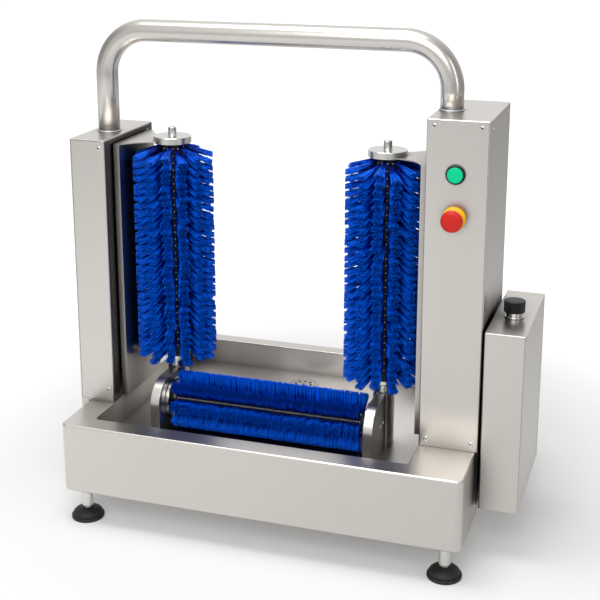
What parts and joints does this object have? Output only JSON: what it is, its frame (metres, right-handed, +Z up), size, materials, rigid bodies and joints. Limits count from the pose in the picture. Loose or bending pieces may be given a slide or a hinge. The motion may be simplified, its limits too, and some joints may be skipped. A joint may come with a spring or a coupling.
{
  "type": "boot washer",
  "caption": "Walk-through boot washer with upright side brushes, a level sole brush over a drained basin, a tube handle, push buttons and a detergent tank.",
  "frame": {"origin": "on the floor under the centre of the bounding box", "axes": "+Z up, +X from the left column to the tank, +Y from the front to the back"},
  "size_m": [0.792, 0.5, 0.8599],
  "materials": {
    "satin_steel": "satin brushed stainless sheet",
    "polished_steel": "turned and polished stainless",
    "blue_bristle": "crimped polymer filament",
    "black_rubber": "matte",
    "black_plastic": "fine grain",
    "green_plastic": "gloss",
    "red_plastic": "gloss",
    "yellow_plastic": "satin",
    "grey_plastic": "matte",
    "cast_aluminium": "cast and machined"
  },
  "bodies": {
    "frame": {"base_frame": "satin_steel", "basin_tray": "satin_steel", "bottom_cover": "satin_steel", "left_column_housing": "satin_steel", "left_column_cover": "satin_steel", "right_column_housing": "satin_steel", "right_column_front_cover": "satin_steel", "right_column_side_cover": "satin_steel", "handle_tube": "satin_steel", "left_brush_channel": "satin_steel", "right_brush_channel": "satin_steel", "left_top_bearing": "satin_steel", "right_top_bearing": "satin_steel", "left_brush_stand": "satin_steel", "right_brush_stand": "satin_steel", "tank_body": "satin_steel", "tank_side_cover": "satin_steel", "left_axle_flange": "polished_steel", "right_axle_flange": "polished_steel", "filler_neck": "polished_steel", "motor_belt": "black_rubber", "brush_belt": "black_rubber", "start_button_bezel": "black_plastic", "start_contact_block": "black_plastic", "stop_contact_block": "black_plastic", "dosing_pump": "black_plastic", "mains_gland": "black_plastic", "stop_collar": "yellow_plastic", "relay_box": "grey_plastic", "detergent_canister": "grey_plastic", "gearbox": "cast_aluminium", "motor": "cast_aluminium"},
    "motor_drive": {"motor_output_shaft": "polished_steel", "motor_pulley": "cast_aluminium"},
    "right_brush": {"right_brush_shaft": "polished_steel", "right_brush_bristles": "blue_bristle", "right_brush_hub": "polished_steel", "right_brush_pulley": "cast_aluminium", "right_screw_gear": "polished_steel"},
    "left_brush": {"left_brush_shaft": "polished_steel", "left_brush_bristles": "blue_bristle", "left_brush_hub": "polished_steel", "left_brush_pulley": "cast_aluminium"},
    "sole_brush": {"sole_brush_axle": "polished_steel", "sole_brush_bristles": "blue_bristle", "sole_screw_gear": "polished_steel"},
    "start_button": {"start_button_cap": "green_plastic"},
    "stop_plunger": {"stop_plunger": "black_plastic"},
    "stop_head": {"stop_head": "red_plastic"},
    "cap_seal": {"tank_cap_seal": "black_rubber"},
    "tank_cap": {"tank_cap": "black_plastic"},
    "strainer": {"drain_strainer": "satin_steel"},
    "foot_front_left": {"foot_spindle_front_left": "polished_steel", "foot_pad_front_left": "black_rubber"},
    "foot_front_right": {"foot_spindle_front_right": "polished_steel", "foot_pad_front_right": "black_rubber"},
    "foot_back_left": {"foot_spindle_back_left": "polished_steel", "foot_pad_back_left": "black_rubber"},
    "foot_back_right": {"foot_spindle_back_right": "polished_steel", "foot_pad_back_right": "black_rubber"}
  },
  "joints": [
    {"name": "right_brush_spin", "type": "hinge", "parent": "frame", "child": "right_brush", "pos_m": [0.1417, -0.043, 0.4], "axis": [0, 0, 1], "continuous": true},
    {"name": "left_brush_spin", "type": "hinge", "parent": "frame", "child": "left_brush", "pos_m": [-0.2457, -0.043, 0.4], "axis": [0, 0, 1], "continuous": true},
    {"name": "sole_brush_spin", "type": "hinge", "parent": "frame", "child": "sole_brush", "pos_m": [-0.052, -0.088, 0.1875], "axis": [1, 0, 0], "continuous": true},
    {"name": "motor_spin", "type": "hinge", "parent": "frame", "child": "motor_drive", "pos_m": [0.276, -0.043, 0.16], "axis": [0, 0, 1], "continuous": true},
    {"name": "start_button_press", "type": "slide", "parent": "frame", "child": "start_button", "axis": [0, 1, 0], "range_m": [0, 0.003], "stiffness_N_per_m": 600, "springref_m": -0.003},
    {"name": "stop_button_press", "type": "slide", "parent": "frame", "child": "stop_plunger", "axis": [0, 1, 0], "range_m": [0, 0.004]},
    {"name": "stop_button_twist", "type": "hinge", "parent": "stop_plunger", "child": "stop_head", "pos_m": [0.274, -0.16, 0.576], "axis": [0, 1, 0], "range_deg": [0, 45], "stiffness_Nm_per_rad": 0.05, "springref_deg": -22.92},
    {"name": "tank_cap_lift", "type": "slide", "parent": "frame", "child": "cap_seal", "axis": [0, 0, 1], "range_m": [0, 0.006]},
    {"name": "tank_cap_turn", "type": "hinge", "parent": "cap_seal", "child": "tank_cap", "pos_m": [0.363, -0.056, 0.414], "axis": [0, 0, 1], "range_deg": [0, 721]},
    {"name": "strainer_lift", "type": "slide", "parent": "frame", "child": "strainer", "axis": [0, 0, 1], "range_m": [0, 0.04]},
    {"name": "foot_level_front_left", "type": "slide", "parent": "frame", "child": "foot_front_left", "axis": [0, 0, 1], "range_m": [-0.015, 0.0012]},
    {"name": "foot_level_front_right", "type": "slide", "parent": "frame", "child": "foot_front_right", "axis": [0, 0, 1], "range_m": [-0.015, 0.0012]},
    {"name": "foot_level_back_left", "type": "slide", "parent": "frame", "child": "foot_back_left", "axis": [0, 0, 1], "range_m": [-0.015, 0.0012]},
    {"name": "foot_level_back_right", "type": "slide", "parent": "frame", "child": "foot_back_right", "axis": [0, 0, 1], "range_m": [-0.015, 0.0012]}
  ],
  "couplings": [
    {"joint": "left_brush_spin", "follows": "right_brush_spin", "ratio": 1},
    {"joint": "sole_brush_spin", "follows": "right_brush_spin", "ratio": 1},
    {"joint": "motor_spin", "follows": "right_brush_spin", "ratio": 1.4286},
    {"joint": "tank_cap_turn", "follows": "tank_cap_lift", "rad_per_m": 2094.4}
  ]
}
